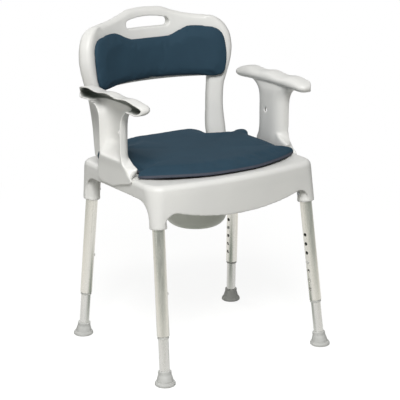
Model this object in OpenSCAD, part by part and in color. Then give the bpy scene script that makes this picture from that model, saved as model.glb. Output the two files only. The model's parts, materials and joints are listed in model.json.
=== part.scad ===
// Commode chair: moulded seat on four telescopic legs, with loose pads, lift-off back and
// armrests, and a pan that slides out on rails under the seat.
// Millimetres. The front is -Y, up is +Z, the feet stand on z = 0 at the middle leg hole.

/* [Seat] */
// Height of the seat rim above the floor
seat_h = 505; // [480:1:530]
// Width of the seat shell
seat_w = 512; // [490:1:550]
// Front of the seat shell, ahead of the middle of the chair
seat_front = 224; // [222:1:240]
// Back of the seat shell, behind the middle of the chair
seat_back = 205; // [198:1:210]
// Wall of the seat shell
seat_wall = 4.5; // [3.5:0.5:6]
// Rounding of the seat rim
rim_r = 14; // [10:1:18]
// Depth of the dish in the seat
dish = 14; // [8:1:18]
// Width of the seat opening
open_w = 196; // [180:1:200]
// Length of the seat opening
open_l = 202; // [180:1:204]
// Middle of the seat opening and of the pan, behind the middle of the chair
open_y = -4; // [-10:1:4]
// Drop of the front skirt on the centre line
skirt_front = 98; // [85:1:106]
// Drop of the front skirt beside the legs
skirt_front_end = 72; // [60:1:80]
// Drop of the side skirts
skirt_side = 43; // [40:1:60]
// Drop of the back skirt
skirt_back = 34; // [28:1:40]
// How far from the axis of a leg an arch under the skirt ends
arch_leg = 5; // [2:1:12]

/* [Leg sockets] */
// Outside of the round leg housings
housing_d = 42; // [40:0.5:46]
// Drop of the leg housings below the rim
housing_drop = 111; // [105:1:125]
// Height of the lip at the mouth of a housing
lip_h = 7; // [5:0.5:10]
// How far the lip stands out
lip_out = 1.2; // [0.8:0.1:2]
// How far the seat corner leads the housing at the rim
corner_lead = 26; // [22:1:30]
// Front leg axis at the rim, ahead of the middle
front_leg_y = 170.7; // [165:0.1:176]
// Rear leg axis at the rim, behind the middle
rear_leg_y = 141.3; // [135:0.1:145]

/* [Legs] */
// Forward splay of the front legs, degrees
front_splay = 7.65; // [6:0.05:10]
// Backward splay of the rear legs, degrees
rear_splay = 5; // [3:0.1:7]
// Sideways splay of all legs, degrees
side_splay = 2.5; // [1:0.1:4]
// Outer tube diameter
tube_d = 32; // [30:0.5:33]
// Outer tube wall
tube_wall = 1.5; // [1.2:0.1:1.8]
// Distance from the floor to the outer tube, along the leg
tube_low = 126; // [115:1:140]
// Inner tube diameter
inner_d = 26; // [24:0.5:26.5]
// Inner tube wall
inner_wall = 1.5; // [1.2:0.1:2]
// Overlap of the inner tube in the outer tube
inner_overlap = 180; // [160:1:190]
// Height hole diameter
hole_d = 9.5; // [8:0.5:11]
// Spacing of the height holes
hole_pitch = 25; // [20:1:30]
// Lowest hole above the end of the outer tube
first_hole = 32; // [26:1:40]
// Number of height holes
holes = 7; // [5:2:7]
// Turn of the height holes from the inner side towards the front, degrees
hole_turn = 11; // [0:1:20]
// Lip of the bush below the outer tube
bush_lip = 6; // [4:0.5:8]
// Length of the bush inside the outer tube
bush_in = 14; // [10:1:18]
// Diameter of the bush lip
bush_lip_d = 29.6; // [29:0.1:31]
// Snap button diameter
button_d = 9; // [7.5:0.1:9.2]
// How far the button stands out of the tube
button_out = 2.4; // [1.5:0.1:3.5]
// Width of the button spring
spring_w = 8; // [6:0.5:9]
// Thickness of the button spring
spring_t = 0.8; // [0.6:0.1:1]
// Length of the button spring
spring_l = 34; // [26:1:40]

/* [Feet] */
// Foot diameter on the floor
foot_d = 53; // [48:0.5:58]
// Height of the foot along the leg
foot_h = 37; // [32:1:44]
// Collar of the foot
foot_collar_d = 34; // [32:0.5:38]
// Rubber under the tube end
foot_floor = 9; // [7:0.5:12]

/* [Back] */
// Radius of the curved back, at the front of the pad
back_r = 360; // [330:1:400]
// Front of the back pad behind the middle, at its lower edge
back_y = 195.7; // [190:0.1:205]
// Lower edge of the back pad
back_low = 683; // [670:1:695]
// Backward lean of the back, per millimetre of height
back_lean = 0.16; // [0.12:0.01:0.2]
// Top of the back above the lower edge of the pad
back_h = 193.5; // [180:0.5:210]
// Half width of the back along its curve
back_half = 227; // [215:1:240]
// Thickness of the back panel
panel_t = 24; // [20:1:30]
// Depth of the back posts
post_d = 44; // [40:1:50]
// Width of the back posts at the seat
post_w = 49; // [44:1:52]
// Middle of the posts along the back curve, at the seat
post_u = 169; // [164:1:172]
// Half width of the handle slot
slot_half = 68.5; // [60:0.5:76]
// Height of the handle slot at its ends
slot_h = 24; // [22:1:30]
// Length of the tenon under a post
tenon_l = 44; // [36:1:50]
// Width of the tenon
tenon_w = 36; // [30:1:38]
// Depth of the tenon
tenon_d = 24; // [20:1:28]
// Wall round the tenon socket
tenon_wall = 3.5; // [3:0.5:5]

/* [Back pad] */
// Thickness of the back pad
back_pad_t = 16; // [12:0.5:20]
// Rim of the back seen round the pad
back_rim = 11.5; // [10:0.5:18]
// Height of the pad at its ears
back_pad_h = 139.5; // [130:0.5:146]
// Depth of the hollow between the ears
back_pad_dip = 23; // [15:1:30]
// Crown of the pad faces
back_crown = 4; // [2:0.5:6]
// Stud diameter
stud_d = 8; // [6:0.5:10]
// Spread of the studs from the centre line
stud_x = 90; // [60:1:110]
// Stud rows above the lower edge of the pad
stud_z = [38, 104];

/* [Seat pad] */
// Thickness of the seat pad at its edge
seat_pad_t = 18; // [12:0.5:20]
// Crown of the seat pad
seat_crown = 5; // [2:0.5:8]
// Rise of the pad's rim from its front to its sides and rear
pad_rise = 8; // [0:0.5:10]
// Sideways place of the loose pad on the seat
pad_shift = 6; // [0:0.5:8]
// Turn of the loose pad on the seat, degrees
pad_turn = -1; // [-2:0.5:0]
// Setback of the pad from the front of the shell
pad_setback = 32; // [26:1:40]
// Inset of the pad's widest part from the side of the seat
pad_inset = 16; // [12:1:20]
// Gap between the pad and the upright of an armrest
arm_gap = 1.5; // [1:0.1:2.5]
// Gap between the pad and a back post, beside the place and turn of the pad
post_gap = 7; // [6:0.5:9]
// Thickness of the board under the pad
board_t = 12; // [9:0.5:13]
// How far the board laps over the seat around the opening
board_lap = 18; // [14:1:22]
// Gap around the spigot in the opening
spigot_gap = 2; // [1:0.5:3]
// Depth of the spigot under the board
spigot_h = 12; // [8:1:16]

/* [Armrests] */
// Height of the middle of the rail above the seat rim
arm_h = 190; // [175:1:205]
// Length of the armrest rail
rail_l = 312; // [295:1:330]
// Middle of the rail, ahead of the middle of the chair
rail_mid = 6; // [0:1:12]
// Width of the rail
rail_w = 44; // [40:1:50]
// Middle of the rail, in from the side of the seat
rail_x = 8; // [4:1:10]
// Height of the rail
rail_t = 31.5; // [28:0.5:36]
// Flat part of the rail's top beside its open side
rail_flat = 18; // [12:1:22]
// Length of the rounded ends of the rail
rail_cap = 24; // [18:1:30]
// Wave height of the finger bumps
wave_h = 2.3; // [0:0.1:3]
// Spacing of the finger bumps
wave_pitch = 98; // [85:1:110]
// Wall of the armrest
arm_wall = 4; // [3:0.5:5]
// Inner face of the upright, in from the side of the seat
arm_x_in = 28; // [25:0.5:29]
// Depth of the upright towards the outside
arm_depth = 36.6; // [32:0.2:38]
// Width of the upright at its waist
waist_w = 107; // [98:1:114]
// Middle of the upright, ahead of the middle of the chair
waist_mid = 8; // [3:1:12]
// Floor of the open channel above the seat rim, at its outer edge
channel_floor = 33; // [28:1:44]
// Face of the tongue, in from the side of the seat
tongue_x = 20; // [18:0.5:22]
// Thickness of the tongue
tongue_t = 7; // [5:0.5:8]
// Width of the tongue
tongue_w = 88; // [70:1:92]
// Depth of the tongue below the rim
tongue_l = 34; // [28:1:36]
// Drop of the outer apron below the rim
apron_drop = 35; // [30:1:37]
// Hole through the inner wall
arm_hole_d = 11; // [8:0.5:14]

/* [Pan and rails] */
// Depth of the pan below its flange
pan_h = 131; // [110:1:140]
// Radius of the pan under the flange
pan_r = 106; // [104:1:108]
// Taper of the pan wall, degrees
pan_taper = 13; // [10:1:22]
// Rounding of the pan bottom
pan_bottom_r = 34; // [24:1:44]
// Wall of the pan
pan_wall = 3; // [2:0.5:4]
// Half width of the square flange
flange_half = 122; // [119:1:126]
// Drop of the flange top below the rim
flange_drop = 50; // [48:1:56]
// Reach of the pull lip behind the flange
pull_l = 26; // [20:1:32]
// Thickness of the rails
rail_wall = 3.5; // [3:0.5:5]
// Depth of the rail mounting ribs below the rim
rib_drop = 33; // [32:1:36]
// Width of the ribs
rib_w = 18; // [16:1:22]

/* [Screws and fits] */
// Socket screw shank
screw_d = 4.8; // [4:0.1:5.5]
// Socket screw head
screw_head_d = 9; // [7.5:0.5:10]
// Rail screw shank
rail_screw_d = 4; // [3.5:0.1:4.5]
// Rail screw head
rail_screw_head_d = 7.5; // [7:0.5:9]
// Clearance of sliding round parts, per side
slide_gap = 0.3; // [0.2:0.05:0.5]
// Clearance of fixed round parts, per side
fit_gap = 0.1; // [0.05:0.05:0.2]
// Distance between pieces that rest on each other
rest_gap = 0.3; // [0.2:0.1:0.5]
// Clearance of lift-off parts in their sockets, per side
lift_gap = 0.5; // [0.3:0.1:0.8]

/* [Hidden] */
$fn = 48;

housing_r = housing_d / 2;
corner_r0 = corner_lead + housing_r + 2;
leg_x = seat_w / 2 - corner_r0 + corner_lead / sqrt(2);
opening = [open_w / 2, open_l / 2];
tube_id = tube_d - 2 * tube_wall;
inner_id = inner_d - 2 * inner_wall;
// Where the flange of a button meets the round inside of the tube
button_seat = sqrt(pow(inner_id / 2, 2) - pow(button_d / 2 + 1.5, 2)) - rest_gap;
mid_hole = tube_low + first_hole + hole_pitch * (holes - 1) / 2;
back_top = back_low + back_h;
pad_z = seat_h + rest_gap;
arm_face = seat_w / 2 - arm_x_in;
arm_x_out = arm_face + arm_depth;
tongue_face = seat_w / 2 - tongue_x;
rail_axis = seat_w / 2 - rail_x;
rail_mid_z = seat_h + arm_h;
flange_z = seat_h - flange_drop;
rail_in = flange_half + 2.5;
rail_front = open_y - flange_half - rest_gap - rail_wall;
rail_back = seat_back - 44;
board_z = seat_h - board_t;

// Shapes that several pieces share

function mean(p) = [for (k = [0:len(p[0]) - 1]) [for (q = p) 1] * [for (q = p) q[k]] / len(p)];

function arc(c, r, a0, a1, n) =
    [for (i = [0:n]) c + r * [cos(a0 + (a1 - a0) * i / n), sin(a0 + (a1 - a0) * i / n)]];

// Smooth curve through the points, n steps between neighbours
function curve(p, n) = let (m = len(p) - 1) concat(
    [for (i = [0:m - 1], k = [0:n - 1]) let (
        t = k / n,
        a = p[i == 0 ? 0 : i - 1],
        b = p[i],
        c = p[i + 1],
        d = p[i == m - 1 ? m : i + 2])
        0.5 * (2 * b + (c - a) * t + (2 * a - 5 * b + 4 * c - d) * t * t
               + (3 * b - a - 3 * c + d) * t * t * t)],
    [p[m]]);

// The closed outline of a half that starts and ends on the centre line
function both(half) = concat(half,
    [for (i = [len(half) - 2:-1:1]) [-half[i][0], half[i][1]]]);

// Rounded section with half sizes w and h, squarer for a larger power
function section(w, h, power, n) = [for (i = [0:n - 1]) let (
    c = cos(360 * i / n),
    s = sin(360 * i / n))
    [w * sign(c) * pow(abs(c), 2 / power), h * sign(s) * pow(abs(s), 2 / power)]];

function raised(p, z) = [for (q = p) [q[0], q[1], z]];

// Solid through closed rings of equal length, fanned at both ends
module loft(rings) {
    n = len(rings[0]);
    m = len(rings);
    polyhedron(
        points = concat([for (r = rings) each r], [mean(rings[0]), mean(rings[m - 1])]),
        faces = concat(
            [for (i = [0:n - 1]) [m * n, i, (i + 1) % n]],
            [for (j = [0:m - 2], i = [0:n - 1]) [j * n + i, (j + 1) * n + i, j * n + (i + 1) % n]],
            [for (j = [0:m - 2], i = [0:n - 1])
                [(j + 1) * n + i, (j + 1) * n + (i + 1) % n, j * n + (i + 1) % n]],
            [for (i = [0:n - 1]) [m * n + 1, (m - 1) * n + (i + 1) % n, (m - 1) * n + i]]));
}

// Solid whose last ring joins its first
module loop(rings) {
    n = len(rings[0]);
    m = len(rings);
    polyhedron(
        points = [for (r = rings) each r],
        faces = concat(
            [for (j = [0:m - 1], i = [0:n - 1])
                [j * n + i, ((j + 1) % m) * n + i, j * n + (i + 1) % n]],
            [for (j = [0:m - 1], i = [0:n - 1])
                [((j + 1) % m) * n + i, ((j + 1) % m) * n + (i + 1) % n, j * n + (i + 1) % n]]));
}

// Round bar with flat sides, from circles and a square
module stadium(w, d) {
    square([w - d, d], center = true);
    for (s = [-1, 1])
        translate([s * (w - d) / 2, 0])
            circle(d = d);
}

// Leg axes

function leg_dir(front) = let (
    v = [-tan(side_splay), front ? tan(front_splay) : -tan(rear_splay), 1]) v / norm(v);

function leg_at(front, z) = let (d = leg_dir(front))
    [leg_x, front ? -front_leg_y : rear_leg_y, seat_h] + d * ((z - seat_h) / d[2]);

function along(front, z) = z / leg_dir(front)[2];

// Right leg with its axis on local Z from the floor, or the left one mirrored from it
module on_leg(front, left) {
    d = leg_dir(front);
    mirror([left ? 1 : 0, 0, 0])
        translate(leg_at(front, 0))
            rotate([-asin(d[1]), atan(d[0] / d[2]), 0])
                children();
}

// A place on the inner side of a leg, pointing away from it, turned towards the front
module on_inner_side(s, turn = 0) {
    translate([0, 0, s])
        rotate([0, -90, turn])
            children();
}

screw_s = housing_drop - 24;

// Seat shell

// Outline of the shell at depth t below the rim, drawn in by d
function seat_ring(t, d) = let (
    lead = corner_lead * max(0, 1 - t / housing_drop),
    r = lead + housing_r + 2 - d,
    f = leg_at(true, seat_h - t),
    b = leg_at(false, seat_h - t),
    cf = [f[0] - lead / sqrt(2), f[1] + lead / sqrt(2)],
    cb = [b[0] - lead / sqrt(2), b[1] - lead / sqrt(2) * 0.8],
    yf = min(-seat_front + 0.04 * t + d, cf[1] - r - 4),
    yb = max(seat_back - 0.1 * t - d, cb[1] + r + 3),
    kf = yf - cf[1],
    kb = yb - cb[1],
    rf = (cf[0] * cf[0] + kf * kf - r * r) / (-2 * (r + kf)),
    rb = (cb[0] * cb[0] + kb * kb - r * r) / (2 * (kb - r)),
    af = atan2(cf[1] - yf - rf, cf[0]),
    ab = atan2(cb[1] - yb + rb, cb[0]),
    side = [for (i = [1:4]) (cf + [r, 0]) * (1 - i / 5) + (cb + [r, 0]) * i / 5])
    both(concat(
        arc([0, yf + rf], rf, -90, af, 9),
        [for (i = [1:7]) cf + r * [cos(af * (1 - i / 7)), sin(af * (1 - i / 7))]],
        side,
        [for (i = [0:6]) cb + r * [cos(ab * i / 7), sin(ab * i / 7)]],
        arc([0, yb - rb], rb, ab, 90, 8)));

// Opening point in the direction of p, made larger by g
function open_at(p, g) = let (
    a = atan2(p[1] - open_y, p[0]),
    r = 1 / norm([cos(a) / (opening[0] + g), sin(a) / (opening[1] + g)]))
    [r * cos(a), open_y + r * sin(a)];

function dip(k) = dish * k * k * (3 - 2 * k);

// Ring on the dished top, k from the rim to the opening, at depth t
function dish_ring(k, t, d) = [for (p = seat_ring(0, d)) let (
    q = p * (1 - k) + open_at(p, 0) * k) [q[0], q[1], seat_h - t - dip(k)]];

module seat_skin() {
    low = housing_drop - 3;
    loop(concat(
        [for (t = [low, 70, 40, rim_r]) raised(seat_ring(t, 0), seat_h - t)],
        [for (a = [30, 60, 90])
            raised(seat_ring(rim_r * (1 - sin(a)), rim_r * (1 - cos(a))), seat_h - rim_r * (1 - sin(a)))],
        [for (k = [0.25, 0.5, 0.75, 1]) dish_ring(k, 0, rim_r)],
        [for (k = [1, 0.75, 0.5, 0.25, 0]) dish_ring(k, seat_wall, rim_r)],
        [for (t = [rim_r, 40, 70, low]) raised(seat_ring(t, seat_wall), seat_h - t)]));
}

// What is cut away under the skirts: half width, drop in the middle and at the ends, corner rounding
module skirt_cut(half, mid, end, r) {
    polygon(concat(
        [[half, -200], [half, -end - r]],
        arc([half - r, -end - r], r, 15, 90, 5),
        [for (i = [1:15]) let (x = (half - r) * (1 - i / 8))
            [x, -mid + (mid - end) * pow(x / (half - r), 2)]],
        arc([r - half, -end - r], r, 90, 165, 5),
        [[-half, -end - r], [-half, -200]]));
}

module post_axis(side) {
    a = post_u / back_r * 180 / PI;
    translate(back_at(side * post_u, seat_h, back_pad_t + rest_gap + post_d / 2))
        rotate([-atan(back_lean), 0, 0])
            rotate([0, 0, -side * a])
                children();
}

module seat_shell() {
    color("#e1e0dc")
        difference() {
            union() {
                difference() {
                    seat_skin();
                    // Front, back and side arches under the skirts
                    translate([0, 104 - seat_front, seat_h])
                        rotate([90, 0, 0])
                            linear_extrude(160)
                                skirt_cut(leg_at(true, seat_h - 90)[0] - arch_leg,
                                          skirt_front, skirt_front_end, 34);
                    translate([0, seat_back + 115, seat_h])
                        rotate([90, 0, 0])
                            linear_extrude(200)
                                skirt_cut(leg_at(false, seat_h - 90)[0] - arch_leg,
                                          skirt_back, skirt_back, 34);
                    for (s = [-1, 1])
                        translate([s * seat_w / 2 - 70, (side_rear + side_front) / 2, seat_h])
                            rotate([90, 0, 90])
                                linear_extrude(140)
                                    skirt_cut((side_rear - side_front) / 2, skirt_side, skirt_side, 48);
                }
                // Leg housings with their lips
                for (f = [true, false], l = [true, false])
                    on_leg(f, l) {
                        translate([0, 0, along(f, seat_h - housing_drop)])
                            cylinder(r = housing_r, h = housing_drop - 26);
                        translate([0, 0, along(f, seat_h - housing_drop)])
                            cylinder(r = housing_r + lip_out, h = lip_h);
                    }
                // Sockets for the back posts
                for (s = [-1, 1])
                    post_axis(s)
                        translate([0, 0, -tenon_l - 6])
                            linear_extrude(tenon_l + 2)
                                stadium(tenon_w + 2 * (lift_gap + tenon_wall),
                                        tenon_d + 2 * (lift_gap + tenon_wall));
                // Pockets for the armrest tongues
                for (s = [0, 1])
                    mirror([s, 0, 0])
                        translate([tongue_face - lift_gap - seat_wall, -waist_mid - tongue_w / 2 - 6,
                                   seat_h - tongue_l - 6])
                            cube([tongue_x - 2 + lift_gap + seat_wall, tongue_w + 12,
                                  tongue_l - 2]);
                // Ribs that carry the pan rails
                for (s = [0, 1])
                    mirror([s, 0, 0])
                        translate([rail_in + rail_wall, -92, seat_h - rib_drop])
                            cube([rib_w, 184, rib_drop - dish]);
            }
            for (f = [true, false], l = [true, false])
                on_leg(f, l) {
                    translate([0, 0, along(f, seat_h - housing_drop) - 1])
                        cylinder(d = tube_d + 2 * fit_gap, h = along(f, housing_drop - 22));
                    on_inner_side(along(f, seat_h - screw_s))
                        cylinder(d = screw_d + 2 * fit_gap, h = housing_d);
                }
            for (s = [-1, 1])
                post_axis(s)
                    translate([0, 0, -tenon_l - 1])
                        linear_extrude(tenon_l + 20)
                            stadium(tenon_w + 2 * lift_gap, tenon_d + 2 * lift_gap);
            for (s = [0, 1])
                mirror([s, 0, 0]) {
                    translate([tongue_face - lift_gap, -waist_mid - tongue_w / 2 - lift_gap,
                               seat_h - tongue_l - 1])
                        cube([tongue_t + 2 * lift_gap, tongue_w + 2 * lift_gap, tongue_l + 20]);
                    for (y = rail_screw_y)
                        translate([rail_screw_x, y, seat_h - rib_drop - 1])
                            cylinder(d = rail_screw_d + 2 * fit_gap, h = rib_drop - dish - 4);
                }
        }
}

side_front = leg_at(true, seat_h - 90)[1] + arch_leg;
side_rear = leg_at(false, seat_h - 90)[1] - arch_leg;
rail_screw_x = rail_in + rail_wall + rib_w / 2;
rail_screw_y = [-70, 70];

// Legs

module leg_tube(front, left) {
    top = along(front, seat_h - 24);
    color("#d9dad6")
        on_leg(front, left)
            difference() {
                translate([0, 0, tube_low])
                    cylinder(d = tube_d, h = top - tube_low);
                translate([0, 0, tube_low - 1])
                    cylinder(d = tube_id, h = top - tube_low + 2);
                for (k = [0:holes - 1])
                    on_inner_side(tube_low + first_hole + k * hole_pitch, hole_turn)
                        cylinder(d = hole_d, h = tube_d);
                on_inner_side(along(front, seat_h - screw_s))
                    cylinder(d = screw_d + 2 * fit_gap, h = tube_d);
            }
}

module leg_bush(front, left) {
    color("#c9cac6")
        on_leg(front, left)
            difference() {
                union() {
                    translate([0, 0, tube_low - bush_lip])
                        cylinder(d = bush_lip_d, h = bush_lip - fit_gap);
                    translate([0, 0, tube_low - 1])
                        cylinder(d = tube_id - 2 * fit_gap, h = bush_in + 1);
                }
                translate([0, 0, tube_low - bush_lip - 1])
                    cylinder(d = inner_d + 2 * slide_gap, h = bush_lip + bush_in + 2);
            }
}

module inner_tube(front, left) {
    top = tube_low + inner_overlap;
    color("#d2d3d0")
        on_leg(front, left)
            difference() {
                translate([0, 0, foot_floor])
                    cylinder(d = inner_d, h = top - foot_floor);
                translate([0, 0, foot_floor - 1])
                    cylinder(d = inner_id, h = top - foot_floor + 2);
                on_inner_side(mid_hole, hole_turn)
                    cylinder(d = hole_d, h = inner_d);
            }
}

module foot(front, left) {
    r = foot_d / 2;
    c = foot_collar_d / 2;
    p = leg_at(front, 0);
    color("#b9bbb8")
        difference() {
            union() {
                translate([left ? -p[0] : p[0], p[1], 0])
                    rotate_extrude()
                        polygon([[0, 0], [r - 2, 0], [r, 2], [r, 5.5], [r - 2.5, 10], [0, 10]]);
                on_leg(front, left)
                    rotate_extrude()
                        polygon([[0, 5.5], [r - 5.5, 5.5], [r - 5, 11], [c + 2.5, 20], [c, 27],
                                 [c, foot_h - 2], [c - 2, foot_h], [0, foot_h]]);
            }
            on_leg(front, left)
                translate([0, 0, foot_floor - fit_gap])
                    cylinder(d = inner_d + 2 * fit_gap, h = foot_h);
        }
}

module button(front, left) {
    wall = button_seat;
    out = tube_d / 2 + button_out;
    b = button_d / 2;
    color("#f2f2ef")
        on_leg(front, left)
            on_inner_side(mid_hole, hole_turn)
                rotate_extrude()
                    polygon([[0, wall - 1.8], [b + 1.5, wall - 1.8], [b + 1.5, wall], [b, wall],
                             [b, out - 1.4], [b - 0.5, out - 0.6], [b - 1.4, out], [0, out]]);
}

// Bent leaf behind the button, with room left for its travel
module button_spring(front, left) {
    near = button_seat - 1.8 - fit_gap;
    far = inner_id / 2 - 6.2;
    color("#8d9094")
        on_leg(front, left)
            rotate([0, 0, hole_turn])
                translate([0, spring_w / 2, mid_hole])
                    rotate([90, 0, 0])
                        linear_extrude(spring_w)
                            polygon([[-near, 7], [-near, -8], [far - 2, -spring_l], [far, -spring_l],
                                     [far, -8], [far - spring_t, -8], [far - spring_t, 2 - spring_l],
                                     [far - 2, 2 - spring_l], [spring_t - near, -8], [spring_t - near, 7]]);
}

module socket_screws() {
    color("#9a9da0")
        for (f = [true, false], l = [true, false])
            on_leg(f, l)
                on_inner_side(along(f, seat_h - screw_s)) {
                    translate([0, 0, tube_id / 2 - 1.2])
                        cylinder(d = screw_d, h = housing_r - tube_id / 2 + 2);
                    translate([0, 0, housing_r + fit_gap])
                        cylinder(d1 = screw_head_d, d2 = screw_head_d - 2, h = 2.6);
                }
}

// Pan and its rails

module pan_rail(left) {
    color("#cfcfca")
        mirror([left ? 1 : 0, 0, 0])
            translate([0, rail_front, 0])
                difference() {
                    union() {
                        translate([pan_r + 2.5, 0, flange_z - pan_wall - rest_gap - rail_wall])
                            cube([rail_in + rail_wall - pan_r - 2.5, rail_back - rail_front, rail_wall]);
                        translate([rail_in, 0, flange_z - pan_wall - rest_gap - rail_wall])
                            cube([rail_wall, rail_back - rail_front,
                                  seat_h - rib_drop - rest_gap - flange_z + pan_wall + rest_gap + rail_wall]);
                        translate([rail_in, 0, seat_h - rib_drop - rest_gap - rail_wall])
                            cube([rib_w + rail_wall, rail_back - rail_front, rail_wall]);
                        translate([pan_r + 2.5, 0, flange_z - pan_wall - rest_gap - 1])
                            cube([rail_in - pan_r - 1, rail_wall, pan_wall + 4]);
                    }
                    for (y = rail_screw_y)
                        translate([rail_screw_x, y - rail_front, seat_h - rib_drop - 10])
                            cylinder(d = rail_screw_d + 2 * fit_gap, h = 20);
                }
}

module pan_rail_screws() {
    color("#9a9da0")
        for (s = [-1, 1], y = rail_screw_y)
            translate([s * rail_screw_x, y, seat_h - rib_drop - rest_gap - rail_wall - fit_gap]) {
                translate([0, 0, -2.4])
                    cylinder(d = rail_screw_head_d, h = 2.4);
                translate([0, 0, -1])
                    cylinder(d = rail_screw_d, h = rail_wall + 11);
            }
}

module pan() {
    low = flange_z - pan_h;
    t = tan(pan_taper);
    b = pan_bottom_r;
    // Middle of the bottom rounding, so that it meets the wall and the floor smoothly
    cr = pan_r - t * (pan_h - b) - b / cos(pan_taper);
    color("#a9aca4")
        translate([0, open_y, 0])
            difference() {
                union() {
                    rotate_extrude()
                        polygon(concat([[0, low]],
                            arc([cr, low + b], b, -90, -pan_taper, 8),
                            [[pan_r, flange_z], [0, flange_z]]));
                    translate([0, 0, flange_z - pan_wall])
                        linear_extrude(pan_wall)
                            union() {
                                square([2 * flange_half, 2 * flange_half - 40], center = true);
                                square([2 * flange_half - 40, 2 * flange_half], center = true);
                                for (x = [-1, 1], y = [-1, 1])
                                    translate([x * (flange_half - 20), y * (flange_half - 20)])
                                        circle(r = 20);
                                translate([-45, 0])
                                    square([90, flange_half + pull_l - 12]);
                                translate([-33, 0])
                                    square([66, flange_half + pull_l]);
                                for (x = [-1, 1])
                                    translate([x * 33, flange_half + pull_l - 12])
                                        circle(r = 12);
                            }
                    // Turned-down edge of the pull lip
                    translate([-33, flange_half + pull_l - pan_wall, flange_z - 12])
                        cube([66, pan_wall, 10]);
                }
                rotate_extrude()
                    polygon(concat([[0, low + pan_wall]],
                        arc([cr, low + b], b - pan_wall, -90, -pan_taper, 8),
                        [[pan_r - pan_wall + t, flange_z + 1], [0, flange_z + 1]]));
            }
}

// Seat pad and its board

pad_front = -seat_front + pad_setback;
post_a = post_u / back_r * 180 / PI;
post_mid = back_at(post_u, seat_h + seat_pad_t / 2, back_pad_t + rest_gap + post_d / 2);

// Corner of the post in the plan, a and b counted in half widths from its middle, with room around it
function post_corner(a, b) = [post_mid[0], post_mid[1]]
    + (post_w / 2 + pad_shift + post_gap - post_mid[1] * sin(pad_turn)) * a * [cos(post_a), -sin(post_a)]
    + (post_d / 2 + post_gap - post_mid[0] * sin(pad_turn)) * b * [sin(post_a), cos(post_a)];

// Outline of the right half of the pad, round the armrest and the back post
pad_side = seat_w / 2 - pad_inset;
pad_notch = arm_face - arm_gap - pad_shift;
arm_front = -waist_mid - waist_w / 2;
arm_rear = -waist_mid + waist_w / 2;
post_y = post_mid[1];
// The notch runs straight back beside the post, so that the lifted back can lean out of it
post_in = post_corner(-1, -1)[0] - 1;
pad_half = curve([[0, pad_front], [0.3 * pad_side, pad_front + 4], [pad_side - 100, pad_front + 25],
                  [pad_side - 43, pad_front + 49], [pad_side - 8, pad_front + 70],
                  [pad_side, pad_front + 77], [pad_side - 1, arm_front - 47],
                  [pad_side - 7, arm_front - 41], [pad_notch + 2, arm_front - 34],
                  [pad_notch, arm_front + 10], [pad_notch + 1, arm_rear + 10.5],
                  [pad_side - 16, arm_rear + 30.5], [pad_side - 6, post_y - 71.5],
                  [pad_side - 1, post_y - 52.5], [pad_side - 6, post_y - 38.5],
                  [pad_side - 22, post_y - 32.5],
                  post_corner(1, -0.6), post_corner(0.8, -1), post_corner(-0.8, -1.02),
                  [post_in, post_corner(-1, -0.5)[1]], [post_in - 1, post_y + 12],
                  [post_in - 14, seat_back - 10],
                  [post_mid[0] - 100, seat_back - 5], [0, seat_back - 2]], 3);

// Share of the rise at y
function pad_up(y) = let (u = min(1, max(0, y / 150 + 1))) u * u * (3 - 2 * u);

function pad_ring(k, d, z, up = 0) = [for (p = both(pad_half)) let (
    q = p * (k - d / norm(p)),
    c = cos(pad_turn),
    s = sin(pad_turn))
    [pad_shift + c * q[0] - s * q[1], s * q[0] + c * q[1], z + up * pad_rise * pad_up(q[1])]];

module seat_pad() {
    t = seat_pad_t;
    color("#34495a")
        loft(concat(
            [pad_ring(0.5, 0, pad_z)],
            [pad_ring(1, 3, pad_z), pad_ring(1, 0.4, pad_z + 0.3 * t, 0.3),
             pad_ring(1, 0.6, pad_z + 0.6 * t, 0.6), pad_ring(1, 4, pad_z + 0.9 * t, 0.9),
             pad_ring(1, 12, pad_z + t + 0.35 * seat_crown, 1)],
            [for (k = [0.85, 0.6, 0.3])
                pad_ring(k, 0, pad_z + t + seat_crown * (k > 0.7 ? 1 : 0.55 + 0.45 * k), k * k)]));
}

module seat_pad_board() {
    color("#4a4f55")
        translate([0, open_y, 0]) {
            translate([0, 0, board_z])
                linear_extrude(board_t)
                    polygon(section(opening[0] + board_lap, opening[1] + board_lap, 2, 56));
            translate([0, 0, board_z - spigot_h])
                linear_extrude(spigot_h + 1)
                    polygon(section(opening[0] - spigot_gap, opening[1] - spigot_gap, 2, 56));
        }
}

// Armrests

// How full a rail of length l is at y, with rounded ends of length c
function rail_full(y, l, c) = let (d = max(0, abs(y + rail_mid) - l / 2 + c) / c) sqrt(max(0.03, 1 - d * d));
function rail_wave(y) = wave_h * cos(360 * (y + 2) / wave_pitch);
function rail_z(y) = rail_mid_z - 4 * pow(2 * (y + rail_mid) / rail_l, 2);

// Places along a rail of length l, closer together at its rounded ends
function rail_steps(l, c) = let (m = l / 2 - c, k = [0, 0.025, 0.09, 0.22, 0.42, 0.69]) [for (q = concat(
    [for (t = k) l / 2 - c * t], [for (i = [0:16]) m * (1 - i / 8)],
    [for (i = [5:-1:0]) c * k[i] - l / 2])) q - rail_mid];

// Section of the rail: half an ellipse on the inside with its top and bottom drawn out to x = out
function rail_section(y, f, mid, in, out, h, n) = let (
    top = h + rail_wave(y),
    z = rail_z(y)) concat(
    [[out, y, z + f * top]],
    [for (i = [0:n]) let (a = 90 + 180 * i / n)
        [mid + (mid - in) * cos(a), y, z + f * sin(a) * (sin(a) > 0 ? top : h)]],
    [[out, y, z - f * h]]);

function rail_ring(y) = let (
    f = rail_full(y, rail_l, rail_cap),
    w = rail_w * (0.12 + 0.88 * f),
    out = rail_axis + w / 2)
    rail_section(y, f, out - rail_flat * w / rail_w, out - w, out, rail_t / 2, 16);

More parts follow.
